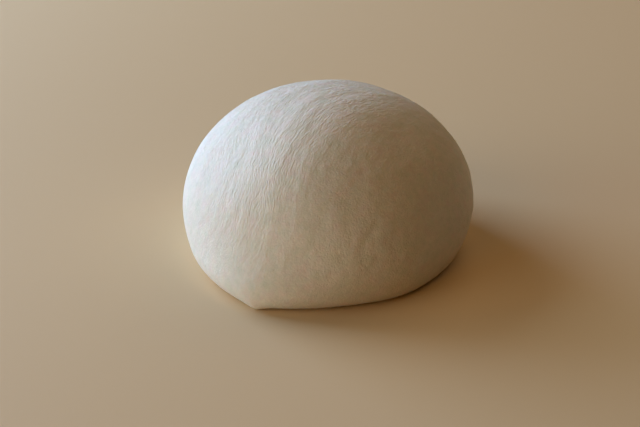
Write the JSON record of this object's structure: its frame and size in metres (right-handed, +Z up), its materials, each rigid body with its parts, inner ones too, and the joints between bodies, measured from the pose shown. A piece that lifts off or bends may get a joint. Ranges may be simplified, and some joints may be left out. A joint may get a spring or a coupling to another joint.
{
  "type": "bread dough ball",
  "caption": "Smooth ball of raw kneaded bread dough, settled on a flat base with one corner dragged out along the surface.",
  "frame": {"origin": "middle of the ball's outline seen from above, on the surface that it rests on", "axes": "+Z up; +X to the right and -Y towards the viewer of the side with the dragged-out corner, which points at about -116 degrees from +X"},
  "size_m": [0.1286, 0.1334, 0.072],
  "materials": {
    "dough_skin": "matte, raw wheat dough, pale cream and slightly translucent"
  },
  "bodies": {
    "root": {"dough_ball": "dough_skin"}
  },
  "joints": []
}
